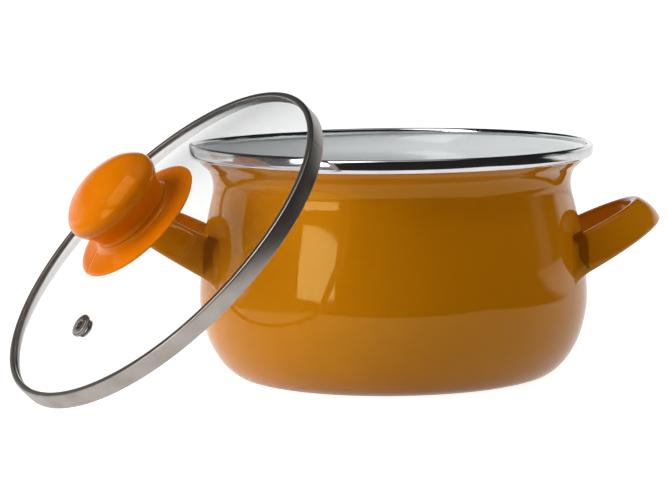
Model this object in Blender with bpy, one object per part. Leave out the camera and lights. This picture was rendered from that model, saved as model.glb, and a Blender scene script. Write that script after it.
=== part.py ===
"""Enamelled two-handled stew pot with a domed glass lid that leans on its rim.

Metres, +Z up. The origin is the centre of the pot's flat base, the handles lie on the X axis, and
the lid leans over the pot's -X, -Y side with its lowest edge just clear of the floor.

The pot is one pressed steel shell with a rolled stainless rim and two welded strap handles.
The lid is a glass dome in a stainless band, with a riveted steam vent and a two-piece knob that one
screw holds from below. Every piece is a closed solid, a small gap away from its neighbours.
"""
from math import cos, pi, radians, sin, sqrt

import bmesh
import bpy
from mathutils import Matrix, Vector

MM = 0.001
GAP = 0.3 * MM

# pot, radii and heights of the outer skin
POT_HEIGHT = 121.1 * MM
RIM_RADIUS = 104.0 * MM
BELLY_RADIUS = 100.7 * MM
BELLY_HEIGHT = 40.5 * MM
NECK_RADIUS = 92.6 * MM
NECK_HEIGHT = 98.6 * MM
BASE_RADIUS = 74.5 * MM
POT_WALL = 1.2 * MM

# rolled rim: an upside-down U of thin strip over the pot's lip
STRIP = 0.6 * MM
LIP_RADIUS = 102.9 * MM
LIP_TOP = 119.9 * MM
SKIRT_BOTTOM = 113.9 * MM
FOLD_BOTTOM = 118.2 * MM
FOLD_RADIUS = 100.8 * MM

# strap handles: a half-ellipse loop that tilts up from its root on the pot
HANDLE_ROOT = Vector((96.5 * MM, 0.0, 60.0 * MM))
HANDLE_TILT = radians(35.8)
HANDLE_HALF_WIDTH = 39.6 * MM
HANDLE_REACH = 45.1 * MM
HANDLE_OVERLAP = 18.0 * MM
HANDLE_THICKNESS = 5.0 * MM
HANDLE_BULGE = 1.6 * MM
HANDLE_LEAN = 1.5 * MM
ROOT_TOP = 15.8 * MM
ROOT_BOTTOM = -3.8 * MM
TIP_TOP = 8.0 * MM
TIP_BOTTOM = -8.9 * MM
STRAP_EDGE = 1.2 * MM

# lid, heights measured along its own axis from the plane of its top edge
LID_RADIUS = 100.8 * MM
LID_SKIRT = 9.0 * MM
BAND_STRIP = 0.7 * MM
BAND_LIP_RADIUS = 97.6 * MM
SHELF_RADIUS = 97.0 * MM
SHELF_TOP = -6.4 * MM
GLASS_RADIUS = 98.7 * MM
GLASS_THICKNESS = 3.6 * MM
GLASS_EDGE_TOP = -1.7 * MM
DOME_RISE = 16.3 * MM
KNOB_HOLE_RADIUS = 5.6 * MM

# leaning pose of the lid
LEAN_TILT = radians(45.65)
LEAN_AZIMUTH = radians(206.44)
LEAN_CENTRE = Vector((-120.6 * MM, -64.1 * MM, 78.9 * MM))

# knob
KNOB_RADIUS = 26.6 * MM
KNOB_TOP = 48.4 * MM
KNOB_MIDDLE = 35.6 * MM
NECK_FOOT = 20.6 * MM
NECK_RADIUS_ABOVE = 21.9 * MM
SKIRT_FLOOR = 17.0 * MM
BRIM_RADIUS = 36.3 * MM
BRIM_EDGE = 14.8 * MM
SCREW_RADIUS = 1.7 * MM
SCREW_TIP = 33.0 * MM
INSERT_BORE = 2.0 * MM
INSERT_RADIUS = 4.0 * MM
INSERT_TOP = 35.4 * MM
BORE_TOP = 36.0 * MM
SEAL_RADIUS = 10.0 * MM

# steam vent, set off the lid's axis
VENT_OFFSET = (61.0 * MM, 14.3 * MM)
VENT_BORE = 2.2 * MM
VENT_TUBE = 2.9 * MM
VENT_HOLE = 3.3 * MM
VENT_FLANGE = 6.0 * MM

ROUND_STEPS = 40
KNOB_STEPS = 24
SMALL_STEPS = 16


def clear_scene():
    for item in list(bpy.data.objects):
        bpy.data.objects.remove(item, do_unlink=True)


def finish(name, colour, roughness, metallic, alpha=1.0):
    """A plain Principled material for one finish."""
    material = bpy.data.materials.new(name)
    material.use_nodes = True
    shader = material.node_tree.nodes["Principled BSDF"]
    shader.inputs["Base Color"].default_value = (*colour, 1.0)
    shader.inputs["Roughness"].default_value = roughness
    shader.inputs["Metallic"].default_value = metallic
    shader.inputs["Alpha"].default_value = alpha
    return material


def arc(centre, radius, start, end, steps):
    """Points (r, z) along a round stretch, from one angle to another in degrees."""
    turns = [radians(start + (end - start) * i / steps) for i in range(steps + 1)]
    return [(centre[0] + radius * cos(t), centre[1] + radius * sin(t)) for t in turns]


def smooth_curve(points, spans):
    """A Catmull-Rom curve through the given points, with some steps in each span."""
    ends = [points[0], *points, points[-1]]
    result = []
    for a, b, c, d in zip(ends, ends[1:], ends[2:], ends[3:]):
        for i in range(spans):
            t = i / spans
            result.append(tuple(
                0.5 * (2 * q + (r - p) * t + (2 * p - 5 * q + 4 * r - s) * t * t
                       + (3 * q - p - 3 * r + s) * t ** 3)
                for p, q, r, s in zip(a, b, c, d)))
    return result + [tuple(points[-1])]


def offset_curve(points, distance):
    """The same curve moved sideways, to the right of the way it runs."""
    result = []
    for i, (r, z) in enumerate(points):
        before = points[max(i - 1, 0)]
        after = points[min(i + 1, len(points) - 1)]
        run = Vector((after[0] - before[0], after[1] - before[1])).normalized()
        result.append((r + run.y * distance, z - run.x * distance))
    return result


def object_from(name, mesh_builder, material, parent=None):
    """Makes the named object from a bmesh, cleans it and shades its round faces smooth."""
    bmesh.ops.remove_doubles(mesh_builder, verts=mesh_builder.verts, dist=0.001 * MM)
    bmesh.ops.dissolve_degenerate(mesh_builder, edges=mesh_builder.edges, dist=0.001 * MM)
    bmesh.ops.recalc_face_normals(mesh_builder, faces=mesh_builder.faces)
    mesh = bpy.data.meshes.new(name)
    mesh_builder.to_mesh(mesh)
    mesh_builder.free()
    mesh.shade_smooth()
    mesh.set_sharp_from_angle(angle=radians(35.0))
    item = bpy.data.objects.new(name, mesh)
    bpy.context.collection.objects.link(item)
    if material is not None:
        mesh.materials.append(material)
    item.parent = parent
    return item


def turned(name, outline, steps, material, parent=None):
    """Turns a closed outline of (r, z) points round the Z axis."""
    shape = bmesh.new()
    corners = [shape.verts.new((r, 0.0, z)) for r, z in outline]
    edges = [shape.edges.new(pair) for pair in zip(corners, corners[1:] + corners[:1])
             if max(pair[0].co.x, pair[1].co.x) > 0.0]
    bmesh.ops.spin(shape, geom=corners + edges, cent=(0, 0, 0), axis=(0, 0, 1),
                   angle=2 * pi, steps=steps, use_merge=True)
    return object_from(name, shape, material, parent)


def cut(target, cutter):
    """Cuts one shape out of another, and keeps the cutter as a hidden guide."""
    cutter.hide_render = True
    cutter.display_type = "WIRE"
    boolean = target.modifiers.new(cutter.name, "BOOLEAN")
    boolean.operation = "DIFFERENCE"
    boolean.solver = "EXACT"
    boolean.object = cutter


# ---------------------------------------------------------------- pot

def pot_outer_curve(spans=2):
    """The pot's outer skin, from the lip down to the edge of its flat base."""
    return smooth_curve([
        (LIP_RADIUS, LIP_TOP),
        (LIP_RADIUS - 0.7 * MM, 116.4 * MM),
        (98.8 * MM, 111.8 * MM),
        (94.0 * MM, 106.7 * MM),
        (NECK_RADIUS, NECK_HEIGHT),
        (95.2 * MM, 87.0 * MM),
        (98.5 * MM, 71.0 * MM),
        (100.1 * MM, 54.8 * MM),
        (BELLY_RADIUS, BELLY_HEIGHT),
        (99.4 * MM, 30.6 * MM),
        (95.8 * MM, 19.2 * MM),
        (89.6 * MM, 9.0 * MM),
        (82.0 * MM, 2.4 * MM),
        (BASE_RADIUS, 0.0),
    ], spans)


def make_pot_body(material):
    outer = pot_outer_curve()
    inner = offset_curve(outer, POT_WALL)
    inner[-1] = (BASE_RADIUS, POT_WALL)
    inner[0] = (LIP_RADIUS - POT_WALL, LIP_TOP)
    outline = outer + [(0.0, 0.0), (0.0, POT_WALL)] + inner[::-1]
    return turned("pot_body", outline, ROUND_STEPS, material)


def make_rim_band(material):
    """Outer skirt, round top and short inner fold of thin strip."""
    top_radius = (RIM_RADIUS - FOLD_RADIUS) / 2
    top_centre = ((RIM_RADIUS + FOLD_RADIUS) / 2, POT_HEIGHT - top_radius)
    outside = [(102.3 * MM, SKIRT_BOTTOM), (103.4 * MM, 114.6 * MM), (RIM_RADIUS, 115.9 * MM)]
    outside += arc(top_centre, top_radius, 0.0, 180.0, 5)
    outside.append((FOLD_RADIUS, FOLD_BOTTOM))
    inside = offset_curve(outside, -STRIP)
    return turned("pot_rim_band", outside + inside[::-1], ROUND_STEPS, material)


def handle_frame(side):
    """The loop's own frame: x runs out along the tilted loop, z across the strap."""
    tilt = Matrix.Rotation(-HANDLE_TILT, 4, "Y")
    turn = Matrix.Rotation(0.0 if side > 0 else pi, 4, "Z")
    return turn @ Matrix.Translation(HANDLE_ROOT) @ tilt


def strap_section(reach, outward, along):
    """One closed section of the strap: a crowned outer face and a flat inner face."""
    top = ROOT_TOP + (TIP_TOP - ROOT_TOP) * max(along, 0.0)
    bottom = ROOT_BOTTOM + (TIP_BOTTOM - ROOT_BOTTOM) * max(along, 0.0)
    middle = (top + bottom) / 2
    half = (top - bottom) / 2

    def corner(depth, height):
        inwards = -outward * (depth + HANDLE_LEAN * height)
        return reach + inwards + Vector((0, 0, middle + half * height))

    crown = [corner(-HANDLE_BULGE * (1 - h * h), h) for h in (-0.62, 0.0, 0.62)]
    rim = [(STRAP_EDGE / 4, 0.93), (STRAP_EDGE, 1.0), (HANDLE_THICKNESS - STRAP_EDGE, 1.0),
           (HANDLE_THICKNESS - STRAP_EDGE / 4, 0.93)]
    upper = [corner(depth, height) for depth, height in rim]
    lower = [corner(depth, -height) for depth, height in rim[::-1]]
    inner = [corner(HANDLE_THICKNESS, h) for h in (0.6, -0.6)]
    return crown + upper + inner + lower


def handle_stations():
    """Points and outward directions along the loop, and how far out each one is."""
    legs = [-HANDLE_OVERLAP, -HANDLE_OVERLAP / 2]
    steps = 18
    stations = [(Vector((x, -HANDLE_HALF_WIDTH, 0)), Vector((0, -1, 0)), 0.0) for x in legs]
    for i in range(steps + 1):
        turn = -pi / 2 + pi * i / steps
        point = Vector((HANDLE_REACH * cos(turn), HANDLE_HALF_WIDTH * sin(turn), 0))
        outward = Vector((cos(turn) / HANDLE_REACH, sin(turn) / HANDLE_HALF_WIDTH, 0)).normalized()
        stations.append((point, outward, cos(turn)))
    stations += [(Vector((x, HANDLE_HALF_WIDTH, 0)), Vector((0, 1, 0)), 0.0) for x in legs[::-1]]
    return stations


def make_handle(name, side, material, pot_cutter):
    shape = bmesh.new()
    rings = []
    for reach, outward, along in handle_stations():
        corners = [shape.verts.new(p) for p in strap_section(reach, outward, along)]
        rings.append([shape.edges.new(pair) for pair in zip(corners, corners[1:] + corners[:1])])
    for ring, following in zip(rings, rings[1:]):
        bmesh.ops.bridge_loops(shape, edges=ring + following)
    bmesh.ops.holes_fill(shape, edges=rings[0] + rings[-1], sides=0)
    bmesh.ops.transform(shape, matrix=handle_frame(side), verts=shape.verts)
    handle = object_from(name, shape, material)
    cut(handle, pot_cutter)
    return handle


def make_pot_cutter():
    """A solid of the pot's outer skin, one gap larger, that trims the handles' feet."""
    skin = offset_curve(pot_outer_curve(), -GAP)
    outline = [(0.0, LIP_TOP)] + skin + [(0.0, 0.0)]
    return turned("handle_foot_cutter", outline, ROUND_STEPS, None)


# ---------------------------------------------------------------- lid

def dome_height(radius):
    """Height of the glass's top face: a shallow cap of a sphere."""
    sphere = (GLASS_RADIUS ** 2 + DOME_RISE ** 2) / (2 * DOME_RISE)
    drop = sphere - sqrt(sphere ** 2 - radius ** 2)
    return GLASS_EDGE_TOP + DOME_RISE - drop


def make_lid_glass(material, lid):
    outer_radii = [KNOB_HOLE_RADIUS + (GLASS_RADIUS - 1.2 * MM - KNOB_HOLE_RADIUS) * i / 9
                   for i in range(10)]
    top = [(r, dome_height(r)) for r in outer_radii]
    edge_middle = GLASS_EDGE_TOP - GLASS_THICKNESS / 2
    edge = [(GLASS_RADIUS, edge_middle + 0.9 * MM), (GLASS_RADIUS, edge_middle - 0.9 * MM)]
    bottom = [(r, z - GLASS_THICKNESS) for r, z in top]
    glass = turned("lid_glass", top + edge + bottom[::-1], ROUND_STEPS, material, lid)
    drill = turned("vent_hole_cutter", [(0.0, 12 * MM), (VENT_HOLE, 12 * MM),
                                        (VENT_HOLE, -12 * MM), (0.0, -12 * MM)],
                   SMALL_STEPS, None, lid)
    drill.matrix_local = vent_place()
    cut(glass, drill)
    return glass


def make_lid_band(material, lid):
    """Strip folded round the glass's edge: top lip, skirt, and a shelf below the glass."""
    wall = LID_RADIUS - BAND_STRIP
    corner = 1.0 * MM
    outline = [(BAND_LIP_RADIUS, -BAND_STRIP), (BAND_LIP_RADIUS, -0.2 * MM)]
    outline.append((BAND_LIP_RADIUS + 0.2 * MM, 0.0))
    outline += arc((LID_RADIUS - corner, -corner), corner, 90.0, 0.0, 3)
    outline.append((LID_RADIUS, 0.3 * MM - LID_SKIRT))
    outline.append((LID_RADIUS - 0.3 * MM, -LID_SKIRT))
    outline += [(wall - 0.6 * MM, -LID_SKIRT), (wall - 0.9 * MM, 0.3 * MM - LID_SKIRT)]
    outline += [(wall - 0.9 * MM, SHELF_TOP - BAND_STRIP), (SHELF_RADIUS, SHELF_TOP - BAND_STRIP)]
    outline += [(SHELF_RADIUS, SHELF_TOP), (wall, SHELF_TOP), (wall, -BAND_STRIP)]
    return turned("lid_rim_band", outline, ROUND_STEPS, material, lid)


def make_edge_liner(material, lid):
    """A thin silicone channel between the glass's edge and the band."""
    outer = LID_RADIUS - BAND_STRIP - GAP
    web = GLASS_RADIUS + GAP
    leg = GLASS_RADIUS - 0.9 * MM
    top = -BAND_STRIP - GAP
    bottom = SHELF_TOP + GAP
    glass_top = dome_height(leg) + GAP
    glass_bottom = GLASS_EDGE_TOP - GLASS_THICKNESS - GAP
    outline = [(leg, glass_top), (leg, top), (outer, top), (outer, bottom), (leg, bottom),
               (leg, glass_bottom), (web, glass_bottom), (web, glass_top)]
    return turned("lid_edge_liner", outline, ROUND_STEPS, material, lid)


def vent_place():
    """Where the vent stands: on the dome, square to the glass."""
    x, y = VENT_OFFSET
    radius = sqrt(x * x + y * y)
    step = 0.1 * MM
    slope = (dome_height(radius + step) - dome_height(radius - step)) / (2 * step)
    normal = Vector((-slope * x / radius, -slope * y / radius, 1.0)).normalized()
    turn = Vector((0, 0, 1)).rotation_difference(normal).to_matrix().to_4x4()
    return Matrix.Translation((x, y, dome_height(radius))) @ turn


def make_vent(metal, silicone, lid):
    """A hollow rivet through the glass, its lower washer and the silicone ring below its flange."""
    flange = 0.6 * MM
    seal = 0.4 * MM
    tail = -GLASS_THICKNESS - 1.1 * MM
    collar = 4.9 * MM
    top = flange + seal + 2 * GAP
    rivet = [(VENT_BORE, top + 0.3 * MM), (VENT_BORE + 0.6 * MM, top + 0.6 * MM)]
    rivet += [(collar - 0.4 * MM, top + 0.5 * MM), (collar, top + 0.1 * MM), (collar, top)]
    rivet += [(VENT_FLANGE - 0.3 * MM, top), (VENT_FLANGE, top - 0.3 * MM)]
    rivet += [(VENT_FLANGE, top - flange), (VENT_TUBE, top - flange), (VENT_TUBE, tail)]
    rivet += [(VENT_BORE, tail)]
    ring = [(VENT_TUBE + GAP, GAP + seal), (VENT_FLANGE - 0.2 * MM, GAP + seal)]
    ring += [(VENT_FLANGE - 0.2 * MM, GAP), (VENT_TUBE + GAP, GAP)]
    under = -GLASS_THICKNESS - GAP - 0.1 * MM
    washer = [(VENT_TUBE + GAP, under), (4.7 * MM, under), (4.7 * MM, under - 0.6 * MM)]
    washer += [(VENT_TUBE + GAP, under - 0.6 * MM)]
    for name, outline, material in (("vent_eyelet", rivet, metal), ("vent_seal", ring, silicone),
                                    ("vent_washer", washer, metal)):
        piece = turned(name, outline, SMALL_STEPS, material, lid)
        piece.matrix_local = vent_place()


def knob_grip_outline():
    """Thick lens-shaped head on a stout neck, with a blind bore for the brass insert."""
    head = smooth_curve([
        (0.0, KNOB_TOP),
        (9.9 * MM, KNOB_TOP - 0.9 * MM),
        (19.2 * MM, 44.2 * MM),
        (25.1 * MM, 39.2 * MM),
        (KNOB_RADIUS, KNOB_MIDDLE),
        (25.9 * MM, 31.8 * MM),
        (23.8 * MM, 28.4 * MM),
        (22.3 * MM, 25.4 * MM),
        (21.6 * MM, 22.8 * MM),
        (NECK_RADIUS_ABOVE, NECK_FOOT),
    ], 2)
    bore = INSERT_RADIUS + GAP
    return head + [(bore, NECK_FOOT), (bore, BORE_TOP), (0.0, BORE_TOP)]


def knob_skirt_outline():
    """Collar and wide thin brim, hollow below, with a flat floor that the seal presses on."""
    floor_top = NECK_FOOT - GAP
    brim = smooth_curve([
        (NECK_RADIUS_ABOVE, floor_top),
        (22.6 * MM, 18.9 * MM),
        (24.6 * MM, 17.7 * MM),
        (29.5 * MM, 17.1 * MM),
        (34.6 * MM, BRIM_EDGE + 1.8 * MM),
        (BRIM_RADIUS, BRIM_EDGE + 1.0 * MM),
        (35.4 * MM, BRIM_EDGE),
    ], 2)
    hollow = [(33.0 * MM, BRIM_EDGE + 0.2 * MM), (24.0 * MM, 15.8 * MM), (13.0 * MM, SKIRT_FLOOR)]
    return brim + hollow + [(SCREW_RADIUS + GAP, SKIRT_FLOOR), (SCREW_RADIUS + GAP, floor_top)]


def tube_outline(inner, outer, bottom, top):
    return [(inner, top), (outer, top), (outer, bottom), (inner, bottom)]


def make_knob(phenolic, brass, steel, silicone, lid):
    under_glass = dome_height(SEAL_RADIUS) - GLASS_THICKNESS
    turned("knob_grip", knob_grip_outline(), KNOB_STEPS, phenolic, lid)
    turned("knob_skirt", knob_skirt_outline(), KNOB_STEPS, phenolic, lid)
    insert = tube_outline(INSERT_BORE, INSERT_RADIUS, NECK_FOOT + 0.6 * MM, INSERT_TOP)
    turned("knob_insert", insert, SMALL_STEPS, brass, lid)
    seat = dome_height(0.0) + GAP
    spigot = under_glass + 1.2 * MM
    seal_head = SKIRT_FLOOR - GAP
    upper = [(SCREW_RADIUS + 2 * GAP, seal_head), (SEAL_RADIUS, seal_head), (SEAL_RADIUS, seat)]
    upper += [(KNOB_HOLE_RADIUS - GAP, seat), (KNOB_HOLE_RADIUS - GAP, spigot)]
    upper += [(SCREW_RADIUS + 2 * GAP, spigot)]
    turned("knob_seal_upper", upper, SMALL_STEPS, silicone, lid)
    seal_top = under_glass - GAP
    seal_bottom = seal_top - 0.9 * MM
    lower = tube_outline(SCREW_RADIUS + 2 * GAP, SEAL_RADIUS, seal_bottom, seal_top)
    turned("knob_seal_lower", lower, SMALL_STEPS, silicone, lid)
    washer_top = seal_bottom - GAP
    washer_bottom = washer_top - 1.0 * MM
    washer = tube_outline(SCREW_RADIUS + GAP, 9.0 * MM, washer_bottom, washer_top)
    turned("knob_washer", washer, SMALL_STEPS, steel, lid)
    turned("knob_screw", screw_outline(washer_bottom - GAP), SMALL_STEPS, steel, lid)


def screw_outline(seat):
    """Pan-head screw, head down, with a round driver recess in its head."""
    head_bottom = seat - 2.6 * MM
    recess = 1.6 * MM
    outline = [(0.0, SCREW_TIP), (SCREW_RADIUS - 0.4 * MM, SCREW_TIP)]
    outline += [(SCREW_RADIUS, SCREW_TIP - 0.6 * MM), (SCREW_RADIUS, seat), (4.4 * MM, seat)]
    outline += [(4.4 * MM, seat - 1.2 * MM), (3.4 * MM, head_bottom + 0.3 * MM)]
    outline += [(2.4 * MM, head_bottom), (recess, head_bottom), (0.9 * MM, head_bottom + 1.4 * MM)]
    return outline + [(0.0, head_bottom + 1.5 * MM)]


def main():
    clear_scene()
    enamel = finish("enamel", (0.42, 0.155, 0.004), 0.12, 0.0)
    stainless = finish("stainless", (0.62, 0.61, 0.6), 0.18, 1.0)
    band_steel = finish("band_steel", (0.5, 0.46, 0.42), 0.32, 1.0)
    glass = finish("lid_glass", (0.9, 0.95, 0.93), 0.02, 0.0, alpha=0.2)
    phenolic = finish("phenolic", (0.8, 0.24, 0.002), 0.2, 0.0)
    silicone = finish("silicone", (0.75, 0.75, 0.72), 0.6, 0.0)
    brass = finish("brass", (0.7, 0.5, 0.2), 0.3, 1.0)

    make_pot_body(enamel)
    make_rim_band(stainless)
    pot_cutter = make_pot_cutter()
    make_handle("handle_right", 1, enamel, pot_cutter)
    make_handle("handle_left", -1, enamel, pot_cutter)

    lid = bpy.data.objects.new("lid_frame", None)
    bpy.context.collection.objects.link(lid)
    lean = Matrix.Rotation(LEAN_AZIMUTH, 4, "Z") @ Matrix.Rotation(LEAN_TILT, 4, "Y")
    lid.matrix_world = Matrix.Translation(LEAN_CENTRE) @ lean
    make_lid_glass(glass, lid)
    make_lid_band(band_steel, lid)
    make_edge_liner(silicone, lid)
    make_vent(band_steel, silicone, lid)
    make_knob(phenolic, brass, stainless, silicone, lid)


main()
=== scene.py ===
# %% [markdown]
# # An enamelled stew pot with its glass lid leaning on the rim
#
# The pot is one pressed steel shell, enamelled amber outside and pale grey inside. A bright steel
# strip is rolled over its lip, and a strap handle is welded to each side. The lid is a shallow
# glass dome held in a satin steel band, with a riveted steam vent and an orange knob in two parts.
#
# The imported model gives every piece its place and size, but it is made of flat facets. Here each
# piece is made again with round, finely stepped surfaces and with the finish of the real one.

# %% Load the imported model
from math import atan2, cos, hypot, pi, radians, sin, sqrt

import bmesh
import bpy
from mathutils import Matrix, Vector


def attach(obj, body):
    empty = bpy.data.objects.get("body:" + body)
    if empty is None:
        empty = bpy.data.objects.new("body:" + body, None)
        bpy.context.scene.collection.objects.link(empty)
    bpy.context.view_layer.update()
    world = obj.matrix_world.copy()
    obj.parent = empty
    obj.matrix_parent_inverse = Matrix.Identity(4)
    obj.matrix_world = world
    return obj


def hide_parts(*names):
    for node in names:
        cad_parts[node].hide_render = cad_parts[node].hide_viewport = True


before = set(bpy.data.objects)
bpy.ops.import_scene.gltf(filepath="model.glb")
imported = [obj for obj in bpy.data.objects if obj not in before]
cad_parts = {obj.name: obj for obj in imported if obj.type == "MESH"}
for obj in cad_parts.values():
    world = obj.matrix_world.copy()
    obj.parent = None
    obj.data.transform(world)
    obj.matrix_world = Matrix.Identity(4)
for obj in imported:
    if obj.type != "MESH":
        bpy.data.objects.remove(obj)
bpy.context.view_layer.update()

MM = 0.001
print("nodes in the packed model:", sorted(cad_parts))

# %% [markdown]
# ## Where the camera stands
#
# A long lens from about two metres away keeps the pot's rim almost flat, as in a catalogue
# picture. The camera looks down a little, and leans under one degree to its side. Its matrix is
# written from three directions: where it looks, what is right and what is up.

# %% Camera
CAMERA_PLACE = Vector((-81.2, -1859.6, 273.9)) * MM
CAMERA_YAW = radians(1.55)
CAMERA_PITCH = radians(6.38)
CAMERA_ROLL = radians(-0.74)
CAMERA_LENS = 194.4

look = Vector((sin(CAMERA_YAW) * cos(CAMERA_PITCH), cos(CAMERA_YAW) * cos(CAMERA_PITCH),
               -sin(CAMERA_PITCH)))
level = Vector((cos(CAMERA_YAW), -sin(CAMERA_YAW), 0.0))
upright = level.cross(look)
right = level * cos(CAMERA_ROLL) + upright * sin(CAMERA_ROLL)
up = upright * cos(CAMERA_ROLL) - level * sin(CAMERA_ROLL)

lens = bpy.data.cameras.new("catalogue_camera")
lens.lens = CAMERA_LENS
lens.sensor_width = 36.0
lens.clip_start = 0.05
lens.clip_end = 100.0
camera = bpy.data.objects.new("catalogue_camera", lens)
bpy.context.scene.collection.objects.link(camera)
facing = Matrix((right, up, -look)).transposed().to_4x4()
camera.matrix_world = Matrix.Translation(CAMERA_PLACE) @ facing
bpy.context.scene.camera = camera
print("camera at", tuple(round(v, 3) for v in camera.location), "m, lens", lens.lens, "mm")

# %% [markdown]
# ## A way to write materials as expressions
#
# A material is a web of nodes. Wiring it by hand hides the idea behind it, so two small classes
# help. `Wire` holds one output socket and lets Python's own `+ - * /` add the Math nodes. `Finish`
# holds the material, and its one method `node` adds any other node: its settings first, then the
# values or links of its sockets.

# %% The Wire class
class Wire:
    """One output socket, with operators that add Math nodes."""

    def __init__(self, finish, socket):
        self.finish = finish
        self.socket = socket

    def math(self, operation, *others):
        values = dict(enumerate((self, *others)))
        return self.finish.node("ShaderNodeMath", {"operation": operation}, values)[0]

    def __add__(self, other):
        return self.math("ADD", other)

    def __sub__(self, other):
        return self.math("SUBTRACT", other)

    def __mul__(self, other):
        return self.math("MULTIPLY", other)

    def __truediv__(self, other):
        return self.math("DIVIDE", other)

    def __radd__(self, other):
        return self.math("ADD", other)

    def __rmul__(self, other):
        return self.math("MULTIPLY", other)

    def __rsub__(self, other):
        return (self * -1.0).math("ADD", other)

    def between(self, low, high):
        """0 below low, 1 above high, and a smooth rise from one to the other."""
        sockets = {"Value": self, "From Min": low, "From Max": high, "To Min": 0.0, "To Max": 1.0}
        smooth = {"interpolation_type": "SMOOTHSTEP"}
        return self.finish.node("ShaderNodeMapRange", smooth, sockets)[0]


# %% The Finish class
class Finish:
    """A material, or the world, and the one method that adds its nodes."""

    def __init__(self, name, tree=None):
        self.material = None
        self.tree = tree
        if tree is None:
            self.material = bpy.data.materials.new(name)
            self.material.use_nodes = True
            self.tree = self.material.node_tree
        self.tree.nodes.clear()

    def node(self, kind, settings=None, sockets=None):
        """Adds a node and returns its outputs as a list of wires."""
        made = self.tree.nodes.new(kind)
        for name, value in (settings or {}).items():
            setattr(made, name, value)
        for name, value in (sockets or {}).items():
            if isinstance(value, Wire):
                self.tree.links.new(value.socket, made.inputs[name])
            else:
                made.inputs[name].default_value = value
        return [Wire(self, socket) for socket in made.outputs]

    def blend(self, share, first, second):
        """A colour between two colours."""
        settings = {"data_type": "RGBA", "blend_type": "MIX"}
        return self.node("ShaderNodeMix", settings, {0: share, 6: first, 7: second})[2]

    def noise(self, place, scale, detail=2.0, roughness=0.5):
        """A number from 0 to 1 that wanders over the surface."""
        sockets = {"Vector": place, "Scale": scale, "Detail": detail, "Roughness": roughness}
        return self.node("ShaderNodeTexNoise", {"noise_dimensions": "3D"}, sockets)[0]

    def bump(self, height, distance):
        """A normal tilted by a height, which is scaled to the given distance."""
        sockets = {"Strength": 1.0, "Distance": distance, "Height": height}
        return self.node("ShaderNodeBump", None, sockets)[0]

    def principled(self, **sockets):
        """The shader itself, wired to the material's output."""
        named = {name.replace("_", " "): value for name, value in sockets.items()}
        self.show(self.node("ShaderNodeBsdfPrincipled", None, named)[0])

    def show(self, shader):
        """Wires a shader to the material's output."""
        self.node("ShaderNodeOutputMaterial", {"is_active_output": True}, {"Surface": shader})


# %% [markdown]
# ## The room
#
# The pot stands on a white table in front of a white backdrop, and the room on the camera's side
# is dark. Polished enamel and steel are mirrors, so they show all of that: their outlines fade
# to white where they catch the backdrop, and the rim is nearly black where it catches the dark
# room. A world shader that depends on direction gives both. A faint strip of light on the right
# and a pale ceiling are part of it.
#
# The camera itself sees plain white, and so do rays that only pass through the lid's glass. A ray
# that has been mirrored or scattered before still finds the room, and its glossy and diffuse
# depths tell it apart.

# %% World
WHITE = (1.0, 1.0, 1.0, 1.0)
CAMERA_RAY, SHADOW_RAY, DIFFUSE_RAY, TRANSMISSION_RAY = 0, 1, 2, 6
DIFFUSE_DEPTH, GLOSSY_DEPTH = 10, 11
LEFT_EDGE, LEFT_FADE = radians(-103.0), 0.06
RIGHT_EDGE, RIGHT_FADE = radians(124.0), 0.08
STRIP_BEARING, STRIP_FADE = radians(102.0), (0.02, 0.16)
BACKDROP_TOP = (0.18, 0.42)
CEILING_FADE = (0.90, 0.97)
STRIP_GLOW, CEILING_GLOW, DARK_ROOM = 0.3, 0.5, 0.016
CAMERA_WHITE = 1.02

scene = bpy.context.scene
world = bpy.data.worlds.new("studio")
world.use_nodes = True
scene.world = world
scene.view_settings.view_transform = "Standard"

room = Finish("studio", world.node_tree)
direction = room.node("ShaderNodeTexCoord")[0]
east, north, height = room.node("ShaderNodeSeparateXYZ", None, {0: direction})
bearing = east.math("ARCTAN2", north * -1.0)
left = 1.0 - bearing.between(LEFT_EDGE - LEFT_FADE, LEFT_EDGE + LEFT_FADE)
backdrop = left + bearing.between(RIGHT_EDGE - RIGHT_FADE, RIGHT_EDGE + RIGHT_FADE)
strip = 1.0 - (bearing - STRIP_BEARING).math("ABSOLUTE").between(*STRIP_FADE)
low = 1.0 - height.between(*BACKDROP_TOP)
ceiling = height.between(*CEILING_FADE)
glow = backdrop * low + strip * low * STRIP_GLOW + ceiling * CEILING_GLOW + DARK_ROOM
glow = glow.math("MINIMUM", 1.0)
paths = room.node("ShaderNodeLightPath")
direct = 1.0 - (paths[DIFFUSE_DEPTH] + paths[GLOSSY_DEPTH]).math("MINIMUM", 1.0)
seen = paths[CAMERA_RAY].math("MAXIMUM", paths[TRANSMISSION_RAY] * direct)
strength = seen * CAMERA_WHITE + (1.0 - seen) * glow
lit = room.node("ShaderNodeBackground", None, {"Color": WHITE, "Strength": strength})[0]
room.node("ShaderNodeOutputWorld", None, {"Surface": lit})
used = (CAMERA_RAY, TRANSMISSION_RAY, DIFFUSE_DEPTH, GLOSSY_DEPTH)
print("light path outputs used:", [paths[i].socket.name for i in used])

# %% [markdown]
# ## The table
#
# A pale, slightly glowing table top keeps the picture bright right up to the pot's foot and
# leaves only a soft shadow below it. Mirrors see it end a short way in front of the pot and to
# both sides, as a real table does, so the foot of the pot is bright and its belly dark. Its glow
# is lower for mirrors, and much lower for rays scattered from dull surfaces, so that it does not
# wash out the colours.

# %% Table
TABLE_SIZE = 12.0
TABLE_EDGE, TABLE_FADE = -0.47, 0.03
SIDE_FADE = (0.50, 0.56)
SIDE_ENDS = (0.10, 0.30)
NEAR_GLOW, FAR_GLOW, FAR_FADE = 0.92, 0.10, (0.4, 1.5)
SCATTERED_CUT, MIRRORED_CUT = 0.85, 0.35

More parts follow.
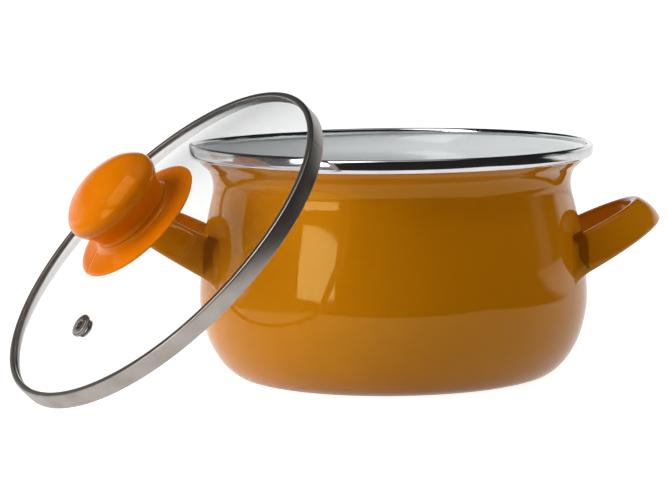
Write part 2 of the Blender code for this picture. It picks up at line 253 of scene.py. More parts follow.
top = bmesh.new()
bmesh.ops.create_grid(top, x_segments=1, y_segments=1, size=TABLE_SIZE)
table_mesh = bpy.data.meshes.new("table_top")
top.to_mesh(table_mesh)
top.free()
table = bpy.data.objects.new("table_top", table_mesh)
scene.collection.objects.link(table)

paper = Finish("table_white")
spot = paper.node("ShaderNodeTexCoord")[3]
across, away, _ = paper.node("ShaderNodeSeparateXYZ", None, {0: spot})
front = 1.0 - away.between(TABLE_EDGE - TABLE_FADE, TABLE_EDGE + TABLE_FADE)
sides = across.math("ABSOLUTE").between(*SIDE_FADE) * (1.0 - away.between(*SIDE_ENDS))
table_paths = paper.node("ShaderNodeLightPath")
mirrored_ray = table_paths[GLOSSY_DEPTH].math("MINIMUM", 1.0)
white = paper.node("ShaderNodeBsdfDiffuse", None, {"Color": (0.5, 0.5, 0.5, 1.0)})[0]
far_away = (across * across + away * away).math("SQRT").between(*FAR_FADE)
table_glow = NEAR_GLOW + far_away * FAR_GLOW
table_glow = table_glow * (1.0 - table_paths[DIFFUSE_RAY] * SCATTERED_CUT)
table_glow = table_glow * (1.0 - mirrored_ray * MIRRORED_CUT)
shine = paper.node("ShaderNodeEmission", None, {"Color": WHITE, "Strength": table_glow})[0]
table_white = paper.node("ShaderNodeAddShader", None, {0: white, 1: shine})[0]
dark = paper.node("ShaderNodeEmission", None, {"Color": WHITE, "Strength": DARK_ROOM})[0]
beyond = front.math("MAXIMUM", sides) * mirrored_ray
mixed = paper.node("ShaderNodeMixShader", None, {0: beyond, 1: table_white, 2: dark})[0]
paper.show(mixed)
table_mesh.materials.append(paper.material)
print("table mirrored dark beyond y =", TABLE_EDGE, "m")

# %% [markdown]
# ## The lamps
#
# One softbox stands to the left in front, and it is the bright rectangle on the enamel. A tall
# one high above it shows in mirrors and adds no light to dull surfaces. The four fills do the
# opposite: they light the colours without showing as mirror images, so the enamel keeps its
# depth. One fill is aimed at the lid and its knob.

# %% Lamps
def add_lamp(name, place, target, width, tall, radiance, mirrored=True, fills=True):
    """An area lamp that faces its target and is as bright as asked all over its face."""
    lamp = bpy.data.lights.new(name, "AREA")
    lamp.shape = "RECTANGLE"
    lamp.size = width
    lamp.size_y = tall
    lamp.energy = radiance * pi * width * tall
    item = bpy.data.objects.new(name, lamp)
    scene.collection.objects.link(item)
    item.location = place
    item.rotation_euler = (Vector(target) - Vector(place)).to_track_quat("-Z", "Y").to_euler()
    item.visible_camera = False
    item.visible_transmission = mirrored
    item.visible_glossy = mirrored
    item.visible_diffuse = fills
    print(name, "gives", round(lamp.energy, 2), "W")


def around(bearing_degrees, distance, level_height):
    """A place at a bearing round the pot, where 0 is the camera's side and 90 is right."""
    turn = radians(bearing_degrees)
    return (distance * sin(turn), -distance * cos(turn), level_height)


pot_middle = (0.0, 0.0, 0.06)
add_lamp("softbox", around(-47.0, 1.25, 0.25), (0.0, 0.0, 0.25), 0.50, 0.41, 4.6)
add_lamp("high_softbox", around(-44.0, 0.75, 0.95), pot_middle, 0.5, 1.1, 3.2, fills=False)
add_lamp("lid_fill", (-1.10, -0.55, 1.15), (-0.12, -0.06, 0.08), 0.9, 0.9, 2.6, mirrored=False)
add_lamp("left_fill", around(-86.0, 1.6, 0.6), pot_middle, 1.4, 1.4, 3.9, mirrored=False)
add_lamp("right_fill", around(80.0, 1.8, 0.6), pot_middle, 1.4, 1.4, 1.2, mirrored=False)
add_lamp("top_fill", (0.7, 0.1, 1.4), pot_middle, 1.2, 1.2, 1.7, mirrored=False)

# %% [markdown]
# ## Amber enamel
#
# Enamel is glass melted on to steel. It is deep and glossy, its surface ripples very gently like
# orange peel, and tiny specks of pigment show in it. Noise at three sizes gives these: broad
# for the depth of the coat, fine for the ripple, and finest for the specks. Where the pot has
# stood on the hob, the foot is a little duller.

# %% Amber enamel
AMBER = (0.600, 0.205, 0.0015, 1.0)
AMBER_DEEP = (0.560, 0.186, 0.0012, 1.0)
AMBER_SPECK = (0.30, 0.075, 0.001, 1.0)
AMBER_EDGE = (1.0, 0.82, 0.28, 1.0)
BROAD_SCALE, FINE_SCALE, SPECK_SCALE = 9.0, 260.0, 1500.0
SPECK_SHARE = 0.35
FOOT_FADE = (0.4 * MM, 2.2 * MM)
ENAMEL_IOR = 1.52

enamel = Finish("enamel_amber")
place = enamel.node("ShaderNodeTexCoord")[3]
broad = enamel.noise(place, BROAD_SCALE)
fine = enamel.noise(place, FINE_SCALE)
specks = enamel.noise(place, SPECK_SCALE, 1.0).between(0.70, 0.76)
foot = 1.0 - enamel.node("ShaderNodeSeparateXYZ", None, {0: place})[2].between(*FOOT_FADE)
amber = enamel.blend(broad.between(0.35, 0.7), AMBER, AMBER_DEEP)
amber = enamel.blend(specks * SPECK_SHARE, amber, AMBER_SPECK)
amber = enamel.blend(foot * SPECK_SHARE, amber, AMBER_SPECK)
enamel.principled(Base_Color=amber, Roughness=0.03 + broad * 0.04 + foot * 0.3, IOR=ENAMEL_IOR,
                  Specular_Tint=AMBER_EDGE, Normal=enamel.bump(fine, 0.016 * MM))

# %% [markdown]
# ## Pale enamel
#
# Inside, the same coat is pale grey, with sparse darker specks that hide marks from stirring.

# %% Pale enamel
PALE = (0.72, 0.75, 0.76, 1.0)
PALE_LIGHT = (0.78, 0.80, 0.805, 1.0)
PALE_SPECK = (0.34, 0.36, 0.38, 1.0)

lining = Finish("enamel_pale")
place = lining.node("ShaderNodeTexCoord")[3]
cloud = lining.noise(place, 30.0, 3.0)
ripple = lining.noise(place, 240.0)
dots = lining.noise(place, 1100.0, 1.0).between(0.72, 0.77)
pale = lining.blend(cloud, PALE, PALE_LIGHT)
pale = lining.blend(dots * 0.5, pale, PALE_SPECK)
lining.principled(Base_Color=pale, Roughness=0.06 + cloud * 0.06, IOR=ENAMEL_IOR,
                  Normal=lining.bump(ripple, 0.014 * MM))

# %% [markdown]
# ## Steel, bright and satin
#
# Strip that is rolled or spun keeps fine lines along the way it turned. Round a circle those
# lines follow the circle, so the noise is laid on the angle, radius and height of each point: it
# changes slowly with the angle and very fast with the other two. The lid's pieces lean, and a
# Mapping node in Texture mode takes their points back to the lid's own upright frame first.

# %% Steel
LEAN_TILT = radians(45.65)
LEAN_AZIMUTH = radians(206.44)
LEAN_CENTRE = Vector((-120.6, -64.1, 78.9)) * MM
LINES_ROUND, LINES_ACROSS = 1.4, 2600.0

lean = Matrix.Rotation(LEAN_AZIMUTH, 4, "Z") @ Matrix.Rotation(LEAN_TILT, 4, "Y")
lid_place = Matrix.Translation(LEAN_CENTRE) @ lean


def own_place(finish, leaning):
    """The point's coordinates in the frame of the pot, or of the leaning lid."""
    place = finish.node("ShaderNodeTexCoord")[3]
    if not leaning:
        return place
    sockets = {"Vector": place, "Location": LEAN_CENTRE, "Rotation": lean.to_euler()}
    return finish.node("ShaderNodeMapping", {"vector_type": "TEXTURE"}, sockets)[0]


def turning_lines(finish, place):
    """Fine lines that run round the Z axis."""
    x, y, z = finish.node("ShaderNodeSeparateXYZ", None, {0: place})
    angle = y.math("ARCTAN2", x)
    radius = (x * x + y * y).math("SQRT")
    sockets = {0: angle * LINES_ROUND, 1: radius * LINES_ACROSS, 2: z * LINES_ACROSS}
    wound = finish.node("ShaderNodeCombineXYZ", None, sockets)[0]
    return finish.noise(wound, 1.0, 3.0, 0.6)


def make_steel(name, light, dark_tone, dull, spread, depth, leaning):
    """Steel in two tones, with a roughness that varies and lines of the given depth."""
    steel = Finish(name)
    place = own_place(steel, leaning)
    lines = turning_lines(steel, place)
    smears = steel.noise(place, 60.0, 3.0)
    colour = steel.blend(smears.between(0.3, 0.75), light, dark_tone)
    steel.principled(Base_Color=colour, Metallic=1.0,
                     Roughness=dull + lines * spread + smears * spread,
                     Normal=steel.bump(lines, depth))
    return steel


bright_steel = make_steel("steel_bright", (0.80, 0.79, 0.79, 1.0), (0.68, 0.68, 0.69, 1.0),
                          dull=0.045, spread=0.05, depth=0.004 * MM, leaning=False)
satin_steel = make_steel("steel_satin", (0.46, 0.42, 0.385, 1.0), (0.35, 0.315, 0.285, 1.0),
                         dull=0.22, spread=0.12, depth=0.02 * MM, leaning=True)
fitting_steel = make_steel("steel_fittings", (0.66, 0.66, 0.67, 1.0), (0.50, 0.50, 0.51, 1.0),
                           dull=0.12, spread=0.10, depth=0.01 * MM, leaning=True)

# %% [markdown]
# ## Glass, plastic, silicone and brass
#
# The lid is soda glass with the slightest green. Light that only passes through on its way to
# another surface goes by a Light Path switch, so the lid's shadow stays light. The knob is hard
# moulded plastic, with a faint cloud in its colour. The seals are milky silicone.

# %% Glass
GLASS_TINT = (0.975, 0.985, 0.98, 1.0)
SHADOW_TINT = (0.95, 0.965, 0.96, 1.0)

glass = Finish("tempered_glass")
place = own_place(glass, True)
wave = glass.noise(place, 16.0, 1.0)
pane = glass.node("ShaderNodeBsdfPrincipled", None, {
    "Base Color": GLASS_TINT, "Roughness": 0.0, "IOR": 1.5,
    "Transmission Weight": 1.0, "Normal": glass.bump(wave, 0.06 * MM)})[0]
clear = glass.node("ShaderNodeBsdfTransparent", None, {"Color": SHADOW_TINT})[0]
switch = glass.node("ShaderNodeLightPath")[SHADOW_RAY]
glass.show(glass.node("ShaderNodeMixShader", None, {0: switch, 1: pane, 2: clear})[0])

# %% Plastic
ORANGE = (0.66, 0.168, 0.0010, 1.0)
ORANGE_DEEP = (0.61, 0.146, 0.0009, 1.0)
ORANGE_EDGE = (1.0, 0.6, 0.12, 1.0)

plastic = Finish("knob_plastic")
place = own_place(plastic, True)
haze = plastic.noise(place, 55.0, 3.0)
grain = plastic.noise(place, 700.0)
orange = plastic.blend(haze.between(0.35, 0.7), ORANGE, ORANGE_DEEP)
plastic.principled(Base_Color=orange, Roughness=0.09 + haze * 0.06, IOR=1.38,
                   Specular_Tint=ORANGE_EDGE, Normal=plastic.bump(grain, 0.006 * MM))

# %% Silicone and brass
silicone = Finish("seal_silicone")
place = own_place(silicone, True)
bloom = silicone.noise(place, 240.0, 3.0)
milky = silicone.blend(bloom, (0.16, 0.16, 0.155, 1.0), (0.22, 0.22, 0.215, 1.0))
silicone.principled(Base_Color=milky, Roughness=0.45 + bloom * 0.2, IOR=1.41,
                    Normal=silicone.bump(bloom, 0.02 * MM))

brass = Finish("bush_brass")
place = own_place(brass, True)
tarnish = brass.noise(place, 380.0, 3.0)
golden = brass.blend(tarnish, (0.78, 0.56, 0.24, 1.0), (0.58, 0.38, 0.15, 1.0))
brass.principled(Base_Color=golden, Metallic=1.0, Roughness=0.22 + tarnish * 0.2,
                 Normal=brass.bump(tarnish, 0.01 * MM))
print("finishes:", sorted(m.name for m in bpy.data.materials if m.use_nodes))

# %% [markdown]
# ## Turning a piece
#
# Nearly every piece is round, so it is turned like a bowl on a lathe: an outline of radius and
# height, spun once round the Z axis. The outline runs through a few chosen points on a smooth
# curve. Doubles at the axis are merged, the faces are turned outwards, and a lid piece is then
# laid in its leaning place, inside its mesh.

# %% Outline helpers
def arc(centre, radius, start, end, steps):
    """Points along a round stretch, from one angle to another in degrees."""
    turns = [radians(start + (end - start) * i / steps) for i in range(steps + 1)]
    return [(centre[0] + radius * cos(t), centre[1] + radius * sin(t)) for t in turns]


def smooth_curve(points, spans):
    """A Catmull-Rom curve through the given points, with some steps in each span."""
    ends = [points[0], *points, points[-1]]
    result = []
    for a, b, c, d in zip(ends, ends[1:], ends[2:], ends[3:]):
        for i in range(spans):
            t = i / spans
            result.append(tuple(
                0.5 * (2 * q + (r - p) * t + (2 * p - 5 * q + 4 * r - s) * t * t
                       + (3 * q - p - 3 * r + s) * t ** 3)
                for p, q, r, s in zip(a, b, c, d)))
    return result + [tuple(points[-1])]


def offset_curve(points, distance):
    """The same curve moved sideways, to the right of the way it runs."""
    result = []
    for i, (r, z) in enumerate(points):
        before = points[max(i - 1, 0)]
        after = points[min(i + 1, len(points) - 1)]
        run = Vector((after[0] - before[0], after[1] - before[1])).normalized()
        result.append((r + run.y * distance, z - run.x * distance))
    return result


def in_metres(points):
    return [(r * MM, z * MM) for r, z in points]


# %% Mesh helpers
SHARP = radians(38.0)


def spun(outline, steps):
    """A closed outline of (radius, height) points turned once round the Z axis."""
    shape = bmesh.new()
    corners = [shape.verts.new((r, 0.0, z)) for r, z in outline]
    edges = [shape.edges.new(pair) for pair in zip(corners, corners[1:] + corners[:1])
             if max(pair[0].co.x, pair[1].co.x) > 0.0]
    bmesh.ops.spin(shape, geom=corners + edges, cent=(0, 0, 0), axis=(0, 0, 1),
                   angle=2 * pi, steps=steps, use_merge=True)
    bmesh.ops.remove_doubles(shape, verts=shape.verts, dist=0.0005 * MM)
    bmesh.ops.recalc_face_normals(shape, faces=shape.faces)
    return shape


def settle(name, shape, finishes, body, node, place=None):
    """Makes the finished object, lets it ride on its body and stand for its CAD node."""
    if place is not None:
        bmesh.ops.transform(shape, matrix=place, verts=shape.verts)
    mesh = bpy.data.meshes.new(name)
    shape.to_mesh(mesh)
    shape.free()
    mesh.shade_smooth()
    mesh.set_sharp_from_angle(angle=SHARP)
    for finish in finishes:
        mesh.materials.append(finish.material)
    item = bpy.data.objects.new(name, mesh)
    scene.collection.objects.link(item)
    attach(item, body)
    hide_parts(node)
    print(f"{name}: {len(mesh.vertices)} vertices, {len(mesh.polygons)} faces")


# %% [markdown]
# ## The pot's shell
#
# A sheet of steel is pressed and spun to a belly, a narrower neck and a flared lip, and only
# 1.2 mm of wall shows between outside and inside. The outline goes down the outside, across the
# foot and back up the inside. Faces of the inner wall then take the pale enamel.

# %% Pot shell
POT_WALL = 1.2 * MM
LIP_TOP = 119.9 * MM
BASE_RADIUS = 74.5 * MM
BASE_RING = 40.0 * MM
BELLY_HEIGHT = 60.0 * MM
POT_STEPS = 192

skin = smooth_curve(in_metres([
    (102.9, 119.9), (102.2, 116.4), (98.8, 111.8), (94.0, 106.7), (92.6, 98.6), (95.2, 87.0),
    (98.5, 71.0), (100.1, 54.8), (100.7, 40.5), (99.4, 30.6), (95.8, 19.2), (89.6, 9.0),
    (82.0, 2.4), (74.5, 0.0)]), 6)
inside = offset_curve(skin, POT_WALL)
inside[-1] = (BASE_RADIUS, POT_WALL)
inside[0] = (skin[0][0] - POT_WALL, LIP_TOP)
base = [(BASE_RING, 0.0), (0.0, 0.0), (0.0, POT_WALL), (BASE_RING, POT_WALL)]
shape = spun(skin + base + inside[::-1], POT_STEPS)
for face in shape.faces:
    middle = face.calc_center_median()
    outwards = Vector((middle.x, middle.y, middle.z - BELLY_HEIGHT)).dot(face.normal)
    face.material_index = 0 if outwards > 0.0 else 1
settle("pot_shell", shape, [enamel, lining], "pot", "pot_body")

# %% [markdown]
# ## The rolled rim
#
# A strip of bright steel is folded over the lip so that nobody touches a raw edge. Its outline is
# an upside-down U with a straight skirt outside and a short fold inside.

# %% Rolled rim
STRIP = 0.6 * MM
POT_HEIGHT = 121.1 * MM
roll_radius = 1.6 * MM
roll_middle = (102.4 * MM, POT_HEIGHT - roll_radius)
outer_side = smooth_curve(in_metres([
    (102.3, 113.9), (103.1, 114.3), (103.7, 115.1), (103.95, 116.2), (104.0, 117.8)]), 4)
outer_side += arc(roll_middle, roll_radius, 5.0, 180.0, 16)
outer_side.append((100.8 * MM, 118.2 * MM))
inner_side = offset_curve(outer_side, -STRIP)
settle("rim_roll", spun(outer_side + inner_side[::-1], 256), [bright_steel], "pot", "pot_rim_band")

# %% [markdown]
# ## Strap handles
#
# Each handle is a strap of steel bent to a half loop and welded to the pot by its two feet. It is
# higher at its feet than at its tip, and it tilts upwards. A rounded section is spun through a
# half turn, stretched along its reach, and extruded at both ends to make the legs. Each leg's
# rings are slid along the leg until they meet the skin of the pot, a little wider each time,
# which makes the small fillet of a weld under enamel. The last two rings turn back inside the leg
# and close it. The first ring of the loop is flat and the skin is not, so the top corner of each
# foot begins past the skin and shows as a small spot of amber on the inner wall.

# %% Handle sizes
HANDLE_ROOT = Vector((96.5, 0.0, 60.0)) * MM
HANDLE_TILT = radians(35.8)
HALF_WIDTH = 39.6 * MM
REACH = 45.1 * MM
THICKNESS = 5.0 * MM
EDGE_RADIUS = 1.9 * MM
BULGE = 1.6 * MM
LEAN = 1.5 * MM
ROOT_TOP, ROOT_BOTTOM = 15.8 * MM, -3.8 * MM
TIP_TOP, TIP_BOTTOM = 8.0 * MM, -8.9 * MM
LOOP_STEPS = 64
CORNER_STEPS, SIDE_CUTS = 6, 9
SEARCH_REACH, SEARCH_STEPS = 60.0 * MM, 30
# Each ring's distance back from the skin, and how much wider than the leg it is, in mm.
FILLET = [(9.0, 0.0), (3.4, 0.0), (2.2, 0.12), (1.3, 0.42), (0.6, 0.95), (0.1, 1.7), (-0.2, 1.8),
          (0.0, -1.4), (5.0, -1.6)]


def skin_radius(height):
    """The pot's outer radius at a height."""
    for (r0, z0), (r1, z1) in zip(skin, skin[1:]):
        if z1 <= height <= z0:
            return r0 + (r1 - r0) * (height - z0) / (z1 - z0)
    return skin[-1][0]


def distance_to_skin(point, way):
    """How far a point travels that way before it meets the pot's skin."""
    near, far = 0.0, SEARCH_REACH
    for _ in range(SEARCH_STEPS):
        middle = (near + far) / 2
        spot = point + way * middle
        if hypot(spot.x, spot.y) > skin_radius(spot.z):
            near = middle
        else:
            far = middle
    return near


# %% Handle section and loop
HALF_TALL = 10.0 * MM
STRAIGHT = HALF_TALL - EDGE_RADIUS


def strap_loop():
    """A rounded strap section, spun through half a turn on the right-hand side."""
    shape = bmesh.new()
    bmesh.ops.create_grid(shape, x_segments=1, y_segments=1, size=1.0)
    lay = Matrix(((0, 0, 1, 0), (THICKNESS / 2, 0, 0, THICKNESS / 2 - HALF_WIDTH),
                  (0, HALF_TALL, 0, 0), (0, 0, 0, 1)))
    bmesh.ops.transform(shape, matrix=lay, verts=shape.verts)
    bmesh.ops.bevel(shape, geom=shape.verts[:], offset=EDGE_RADIUS, segments=CORNER_STEPS,
                    profile=0.5, affect="VERTICES", material=-1)
    bmesh.ops.delete(shape, geom=shape.faces[:], context="FACES_ONLY")
    long_edges = [e for e in shape.edges if e.calc_length() > THICKNESS]
    bmesh.ops.subdivide_edges(shape, edges=long_edges, cuts=SIDE_CUTS)
    bmesh.ops.spin(shape, geom=shape.verts[:] + shape.edges[:], cent=(0, 0, 0), axis=(0, 0, 1),
                   angle=pi, steps=LOOP_STEPS)
    return shape


def shape_strap(shape):
    """Turns the round hoop into the real loop: longer, tapered, crowned and leaning."""
    for vert in shape.verts:
        turn = atan2(vert.co.y, vert.co.x)
        along = max(cos(turn), 0.0)
        depth = hypot(vert.co.x, vert.co.y) - HALF_WIDTH
        share = vert.co.z / HALF_TALL
        side = 1.0 if share > 0.0 else -1.0
        depth -= LEAN * share
        if depth > -THICKNESS / 2:
            depth += BULGE * (1.0 - share * share)
        top_edge = ROOT_TOP + (TIP_TOP - ROOT_TOP) * along
        bottom_edge = ROOT_BOTTOM + (TIP_BOTTOM - ROOT_BOTTOM) * along
        straight = (top_edge - bottom_edge) / 2 - EDGE_RADIUS
        level = abs(vert.co.z)
        tall = min(level, STRAIGHT) / STRAIGHT * straight + max(level - STRAIGHT, 0.0)
        outward = Vector((cos(turn) / REACH, sin(turn) / HALF_WIDTH, 0.0)).normalized()
        vert.co = Vector((REACH * cos(turn), HALF_WIDTH * sin(turn), 0.0)) + outward * depth
        vert.co.z = (top_edge + bottom_edge) / 2 + side * tall


# %% Handle feet
def add_feet(shape, frame_matrix):
    """Lays the loop in the pot's frame and runs both legs up to the pot's skin."""
    bmesh.ops.transform(shape, matrix=frame_matrix, verts=shape.verts)
    bmesh.ops.recalc_face_normals(shape, faces=shape.faces)
    shape.normal_update()
    way = (frame_matrix.to_3x3() @ Vector((-1, 0, 0))).normalized()
    home = shape.verts.layers.float_vector.new("home")
    out = shape.verts.layers.float_vector.new("out")
    ring = [e for e in shape.edges if e.is_boundary]
    for vert in {v for e in ring for v in e.verts}:
        vert[home] = vert.co
        vert[out] = vert.normal
    for back, wider in FILLET:
        made = bmesh.ops.extrude_edge_only(shape, edges=ring)["geom"]
        ring = [g for g in made if isinstance(g, bmesh.types.BMEdge)]
        for vert in (g for g in made if isinstance(g, bmesh.types.BMVert)):
            start = Vector(vert[home]) + Vector(vert[out]) * wider * MM
            vert.co = start + way * (distance_to_skin(start, way) - back * MM)
        ring = [e for e in ring if e.is_boundary]
    bmesh.ops.holes_fill(shape, edges=ring, sides=0)
    bmesh.ops.recalc_face_normals(shape, faces=shape.faces)


for side_name, turn in (("right", 0.0), ("left", pi)):
    loop = strap_loop()
    shape_strap(loop)
    loop_frame = Matrix.Translation(HANDLE_ROOT) @ Matrix.Rotation(-HANDLE_TILT, 4, "Y")
    add_feet(loop, loop_frame)
    settle(f"{side_name}_loop_handle", loop, [enamel], "pot", f"handle_{side_name}",
           Matrix.Rotation(turn, 4, "Z"))

# %% [markdown]
# ## The lid's glass
#
# Tempered lids are a shallow dome of even thickness, here a cap of a sphere. It has a hole in the
# middle for the knob's screw and one off to the side for the vent. The small one is cut with a
# Boolean modifier, whose result is then kept as the mesh.

# %% Glass dome
GLASS_RADIUS = 98.7 * MM
GLASS_THICKNESS = 3.6 * MM
GLASS_EDGE_TOP = -1.7 * MM
DOME_RISE = 16.3 * MM
KNOB_HOLE_RADIUS = 5.6 * MM
VENT_OFFSET = (61.0 * MM, 14.3 * MM)
VENT_HOLE = 3.3 * MM
EDGE_ROUND = 1.6 * MM
DRILL_REACH = 12.0 * MM
DOME_RINGS = 40


def dome_height(radius):
    """Height of the glass's top face: a shallow cap of a sphere."""
    sphere = (GLASS_RADIUS ** 2 + DOME_RISE ** 2) / (2 * DOME_RISE)
    drop = sphere - sqrt(sphere ** 2 - radius ** 2)
    return GLASS_EDGE_TOP + DOME_RISE - drop


def vent_place():
    """Where the vent stands: on the dome, square to the glass."""
    x, y = VENT_OFFSET
    radius = hypot(x, y)
    step = 0.1 * MM
    slope = (dome_height(radius + step) - dome_height(radius - step)) / (2 * step)
    normal = Vector((-slope * x / radius, -slope * y / radius, 1.0)).normalized()
    turn = Vector((0, 0, 1)).rotation_difference(normal).to_matrix().to_4x4()
    return Matrix.Translation((x, y, dome_height(radius))) @ turn


def cut_out(shape, cutter):
    """The first shape with the second cut out of it."""
    items = []
    for part in (shape, cutter):
        mesh = bpy.data.meshes.new("cutting")
        part.to_mesh(mesh)
        part.free()
        items.append(bpy.data.objects.new("cutting", mesh))
        scene.collection.objects.link(items[-1])
    boolean = items[0].modifiers.new("cut", "BOOLEAN")
    boolean.operation = "DIFFERENCE"
    boolean.solver = "EXACT"
    boolean.object = items[1]
    ready = items[0].evaluated_get(bpy.context.evaluated_depsgraph_get())
    result = bmesh.new()
    result.from_mesh(bpy.data.meshes.new_from_object(ready))
    for item in items:
        bpy.data.objects.remove(item, do_unlink=True)
    return result


face_width = GLASS_RADIUS - 1.3 * MM - KNOB_HOLE_RADIUS
radii = [KNOB_HOLE_RADIUS + face_width * i / DOME_RINGS for i in range(DOME_RINGS + 1)]
top_face = [(r, dome_height(r)) for r in radii]
bottom_face = [(r, z - GLASS_THICKNESS) for r, z in top_face]
edge_middle = GLASS_EDGE_TOP - GLASS_THICKNESS / 2 + 0.1 * MM
edge = arc((GLASS_RADIUS - EDGE_ROUND, edge_middle), EDGE_ROUND, 70.0, -70.0, 8)
dome = spun(top_face + edge + bottom_face[::-1], 160)
drill = spun([(0.0, DRILL_REACH), (VENT_HOLE, DRILL_REACH), (VENT_HOLE, -DRILL_REACH),
              (0.0, -DRILL_REACH)], 48)
bmesh.ops.transform(drill, matrix=vent_place(), verts=drill.verts)
settle("glass_dome", cut_out(dome, drill), [glass], "lid", "lid_glass",
       lid_place)

# %% [markdown]
# ## The lid's steel band
#
# A strip of satin steel is rolled round the glass and welded end to end. It has a narrow lip over
# the glass, a straight skirt outside, and a hem below. The weld is a hairline groove: the ring is
# cut by three planes close together, and the middle cut is pushed in.

# %% Lid band
LID_RADIUS = 100.8 * MM
LID_SKIRT = 9.0 * MM
BAND_STRIP = 0.7 * MM
BAND_LIP_RADIUS = 97.6 * MM
SHELF_RADIUS = 97.0 * MM
SHELF_TOP = -6.4 * MM
SEAM_TURN = radians(138.0)
LIP_ROUND, SHOULDER_ROUND, HEM_ROUND = 0.35 * MM, 1.1 * MM, 0.45 * MM
CUT_TOLERANCE, ON_LINE = 1e-7, 1e-6


def groove(shape, turn, half_width, depth, keep, aside=0.0):
    """A hairline groove in a ring, along one straight line seen from above."""
    away = Vector((cos(turn), sin(turn), 0.0))
    across = Vector((-sin(turn), cos(turn), 0.0))
    for shift in (-half_width, 0.0, half_width):
        bmesh.ops.bisect_plane(shape, geom=shape.verts[:] + shape.edges[:] + shape.faces[:],
                               dist=CUT_TOLERANCE, plane_co=across * (aside + shift),
                               plane_no=across)
    shape.normal_update()
    for vert in shape.verts:
        centred = abs(vert.co.dot(across) - aside) < ON_LINE
        if centred and vert.co.dot(away) > 0.0 and keep(vert.co):
            vert.co -= vert.normal * depth


wall = LID_RADIUS - BAND_STRIP
outline = [(BAND_LIP_RADIUS + 0.15 * MM, -BAND_STRIP)]
outline += arc((BAND_LIP_RADIUS + LIP_ROUND, -LIP_ROUND), LIP_ROUND, 200.0, 90.0, 5)
outline += arc((LID_RADIUS - SHOULDER_ROUND, -SHOULDER_ROUND), SHOULDER_ROUND, 90.0, 0.0, 8)
outline += arc((LID_RADIUS - HEM_ROUND, HEM_ROUND - LID_SKIRT), HEM_ROUND, 0.0, -180.0, 10)
outline += [(wall - 0.9 * MM, SHELF_TOP - BAND_STRIP), (SHELF_RADIUS, SHELF_TOP - BAND_STRIP),
            (SHELF_RADIUS, SHELF_TOP), (wall, SHELF_TOP), (wall, -BAND_STRIP)]
band = spun(outline, 256)
band.normal_update()
groove(band, SEAM_TURN, 0.25 * MM, 0.25 * MM,
       lambda co: hypot(co.x, co.y) > LID_RADIUS - 0.3 * MM)
settle("lid_band", band, [satin_steel], "lid", "lid_rim_band", lid_place)

# %% Edge liner
GAP = 0.3 * MM
outer = LID_RADIUS - BAND_STRIP - GAP
web = GLASS_RADIUS + GAP
leg = GLASS_RADIUS - 0.9 * MM
liner_top = -BAND_STRIP - GAP
liner_bottom = SHELF_TOP + GAP
glass_top = dome_height(leg) + GAP
glass_bottom = GLASS_EDGE_TOP - GLASS_THICKNESS - GAP
channel = [(leg, glass_top), (leg, liner_top), (outer, liner_top), (outer, liner_bottom),
           (leg, liner_bottom), (leg, glass_bottom), (web, glass_bottom), (web, glass_top)]
settle("lid_seal_ring", spun(channel, 200), [silicone], "lid", "lid_edge_liner",
       lid_place)

# %% [markdown]
# ## The steam vent
#
# A hollow rivet of steel goes through the glass, with a rounded flange outside, a silicone ring
# below the flange and a washer under the glass.

# %% Steam vent
VENT_BORE, VENT_TUBE, VENT_FLANGE = 2.2 * MM, 2.9 * MM, 6.0 * MM
FLANGE_TALL, RING_TALL, COLLAR = 0.6 * MM, 0.4 * MM, 4.9 * MM
ROLL_ROUND, FLANGE_ROUND = 0.6 * MM, 0.3 * MM
WASHER_RADIUS, WASHER_TALL = 4.7 * MM, 0.6 * MM
flange_top = FLANGE_TALL + RING_TALL + 2 * GAP
tail = -GLASS_THICKNESS - 1.1 * MM

rivet = [(VENT_BORE, flange_top + 0.25 * MM)]
rivet += arc((VENT_BORE + ROLL_ROUND, flange_top), ROLL_ROUND, 155.0, 80.0, 6)
rivet += arc((COLLAR - ROLL_ROUND, flange_top), ROLL_ROUND, 80.0, 5.0, 6)
rivet += [(COLLAR, flange_top)]
rivet += arc((VENT_FLANGE - FLANGE_ROUND, flange_top - FLANGE_ROUND), FLANGE_ROUND, 90.0, 0.0, 5)
rivet += [(VENT_FLANGE, flange_top - FLANGE_TALL), (VENT_TUBE, flange_top - FLANGE_TALL)]
rivet += [(VENT_TUBE, tail + 0.2 * MM), (VENT_TUBE - 0.2 * MM, tail), (VENT_BORE, tail)]
under = -GLASS_THICKNESS - GAP - 0.1 * MM
cushion = [(VENT_TUBE + GAP, GAP + RING_TALL), (VENT_FLANGE - 0.2 * MM, GAP + RING_TALL),
           (VENT_FLANGE - 0.2 * MM, GAP), (VENT_TUBE + GAP, GAP)]
washer = [(VENT_TUBE + GAP, under), (WASHER_RADIUS, under),
          (WASHER_RADIUS, under - WASHER_TALL), (VENT_TUBE + GAP, under - WASHER_TALL)]
on_dome = lid_place @ vent_place()
for name, outline, finish, node, slot_name in (
        ("vent_rivet", rivet, satin_steel, "vent_eyelet", "satin_band"),
        ("vent_ring_seal", cushion, silicone, "vent_seal", "silicone"),
        ("vent_back_washer", washer, satin_steel, "vent_washer", "satin_band")):
    settle(name, spun(outline, 64), [finish], "lid", node, on_dome)

# %% [markdown]
# ## The knob
#
# The knob is moulded in two parts. The grip is a fat disc on a waisted neck, made for three
# fingers. The skirt below it is a collar with a wide thin brim that keeps fingers off the hot
# glass, with one line left by the mould. A brass bush in the grip takes the screw that holds
# everything from below.

# %% Knob grip and skirt
NECK_FOOT = 20.6 * MM
BUSH_RADIUS = 4.0 * MM
SCREW_RADIUS = 1.7 * MM
BORE_TOP = 36.0 * MM
MOULD_TURN, MOULD_ASIDE = radians(24.5), -20.25 * MM

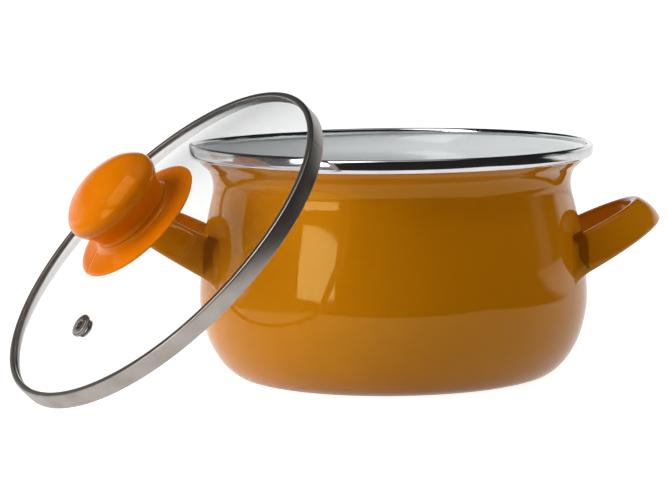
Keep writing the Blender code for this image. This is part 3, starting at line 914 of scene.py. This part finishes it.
grip = smooth_curve(in_metres([
    (0.0, 48.4), (9.9, 47.5), (19.2, 44.2), (25.1, 39.2), (26.6, 35.6), (25.9, 31.8),
    (23.8, 28.4), (22.3, 25.4), (21.6, 22.8), (21.9, 20.6)]), 8)
bore = BUSH_RADIUS + GAP
grip += [(bore, NECK_FOOT), (bore, BORE_TOP), (0.0, BORE_TOP)]
settle("knob_cap", spun(grip, 128), [plastic], "lid", "knob_grip", lid_place)

skirt_top = NECK_FOOT - GAP
brim = smooth_curve(in_metres([
    (21.9, 20.3), (22.6, 18.9), (24.6, 17.7), (29.5, 17.1), (34.6, 16.6), (36.3, 15.8),
    (35.4, 14.8)]), 8)
hollow = in_metres([(33.0, 15.0), (24.0, 15.8), (13.0, 17.0), (2.0, 17.0)])
skirt = spun(brim + hollow + [(SCREW_RADIUS + GAP, skirt_top)], 128)
skirt.normal_update()
groove(skirt, MOULD_TURN, 0.35 * MM, 0.25 * MM,
       lambda co: co.z > 15.6 * MM and co.x > 19.5 * MM, aside=MOULD_ASIDE)
settle("knob_brim", skirt, [plastic], "lid", "knob_skirt", lid_place)

# %% Knob fixings
SEAL_RADIUS = 10.0 * MM
GASKET_TOP = 16.7 * MM
SCREW_TOP = 33.0 * MM
HEAD_RADIUS, HEAD_ROUND = 4.4 * MM, 1.4 * MM
under_glass = dome_height(SEAL_RADIUS) - GLASS_THICKNESS
seat = dome_height(0.0) + GAP
spigot = under_glass + 1.2 * MM
seal_top = under_glass - GAP
seal_bottom = seal_top - 0.9 * MM
washer_top = seal_bottom - GAP
washer_bottom = washer_top - 1.0 * MM
screw_seat = washer_bottom - GAP
head_bottom = screw_seat - 2.6 * MM


def tube(inner, outer, bottom, top_end):
    """A ring outline with small rounded corners."""
    soft = 0.15 * MM
    return [(inner, top_end - soft), (inner + soft, top_end), (outer - soft, top_end),
            (outer, top_end - soft), (outer, bottom + soft), (outer - soft, bottom),
            (inner + soft, bottom), (inner, bottom + soft)]


gasket = [(SCREW_RADIUS + 2 * GAP, GASKET_TOP), (SEAL_RADIUS, GASKET_TOP), (SEAL_RADIUS, seat),
          (KNOB_HOLE_RADIUS - GAP, seat), (KNOB_HOLE_RADIUS - GAP, spigot),
          (SCREW_RADIUS + 2 * GAP, spigot)]
head_middle = head_bottom + HEAD_ROUND
screw = [(0.0, SCREW_TOP), (SCREW_RADIUS - 0.4 * MM, SCREW_TOP)]
screw += [(SCREW_RADIUS, SCREW_TOP - 0.6 * MM), (SCREW_RADIUS, screw_seat)]
screw += [(HEAD_RADIUS, screw_seat), (HEAD_RADIUS, head_middle)]
screw += arc((HEAD_RADIUS - HEAD_ROUND, head_middle), HEAD_ROUND, 0.0, -90.0, 6)
screw += [(1.6 * MM, head_bottom), (0.9 * MM, head_middle), (0.0, head_middle + 0.1 * MM)]
for name, outline, finish, node, slot_name in (
        ("knob_bush", tube(2.0 * MM, BUSH_RADIUS, NECK_FOOT + 0.6 * MM, 35.4 * MM), brass,
         "knob_insert", "brass"),
        ("knob_gasket_top", gasket, silicone, "knob_seal_upper", "silicone"),
        ("knob_gasket_under", tube(SCREW_RADIUS + 2 * GAP, SEAL_RADIUS, seal_bottom, seal_top),
         silicone, "knob_seal_lower", "silicone"),
        ("bolt_washer", tube(SCREW_RADIUS + GAP, 9.0 * MM, washer_bottom, washer_top),
         fitting_steel, "knob_washer", "polished_rim"),
        ("knob_bolt", screw, fitting_steel, "knob_screw", "polished_rim")):
    settle(name, spun(outline, 64), [finish], "lid", node, lid_place)
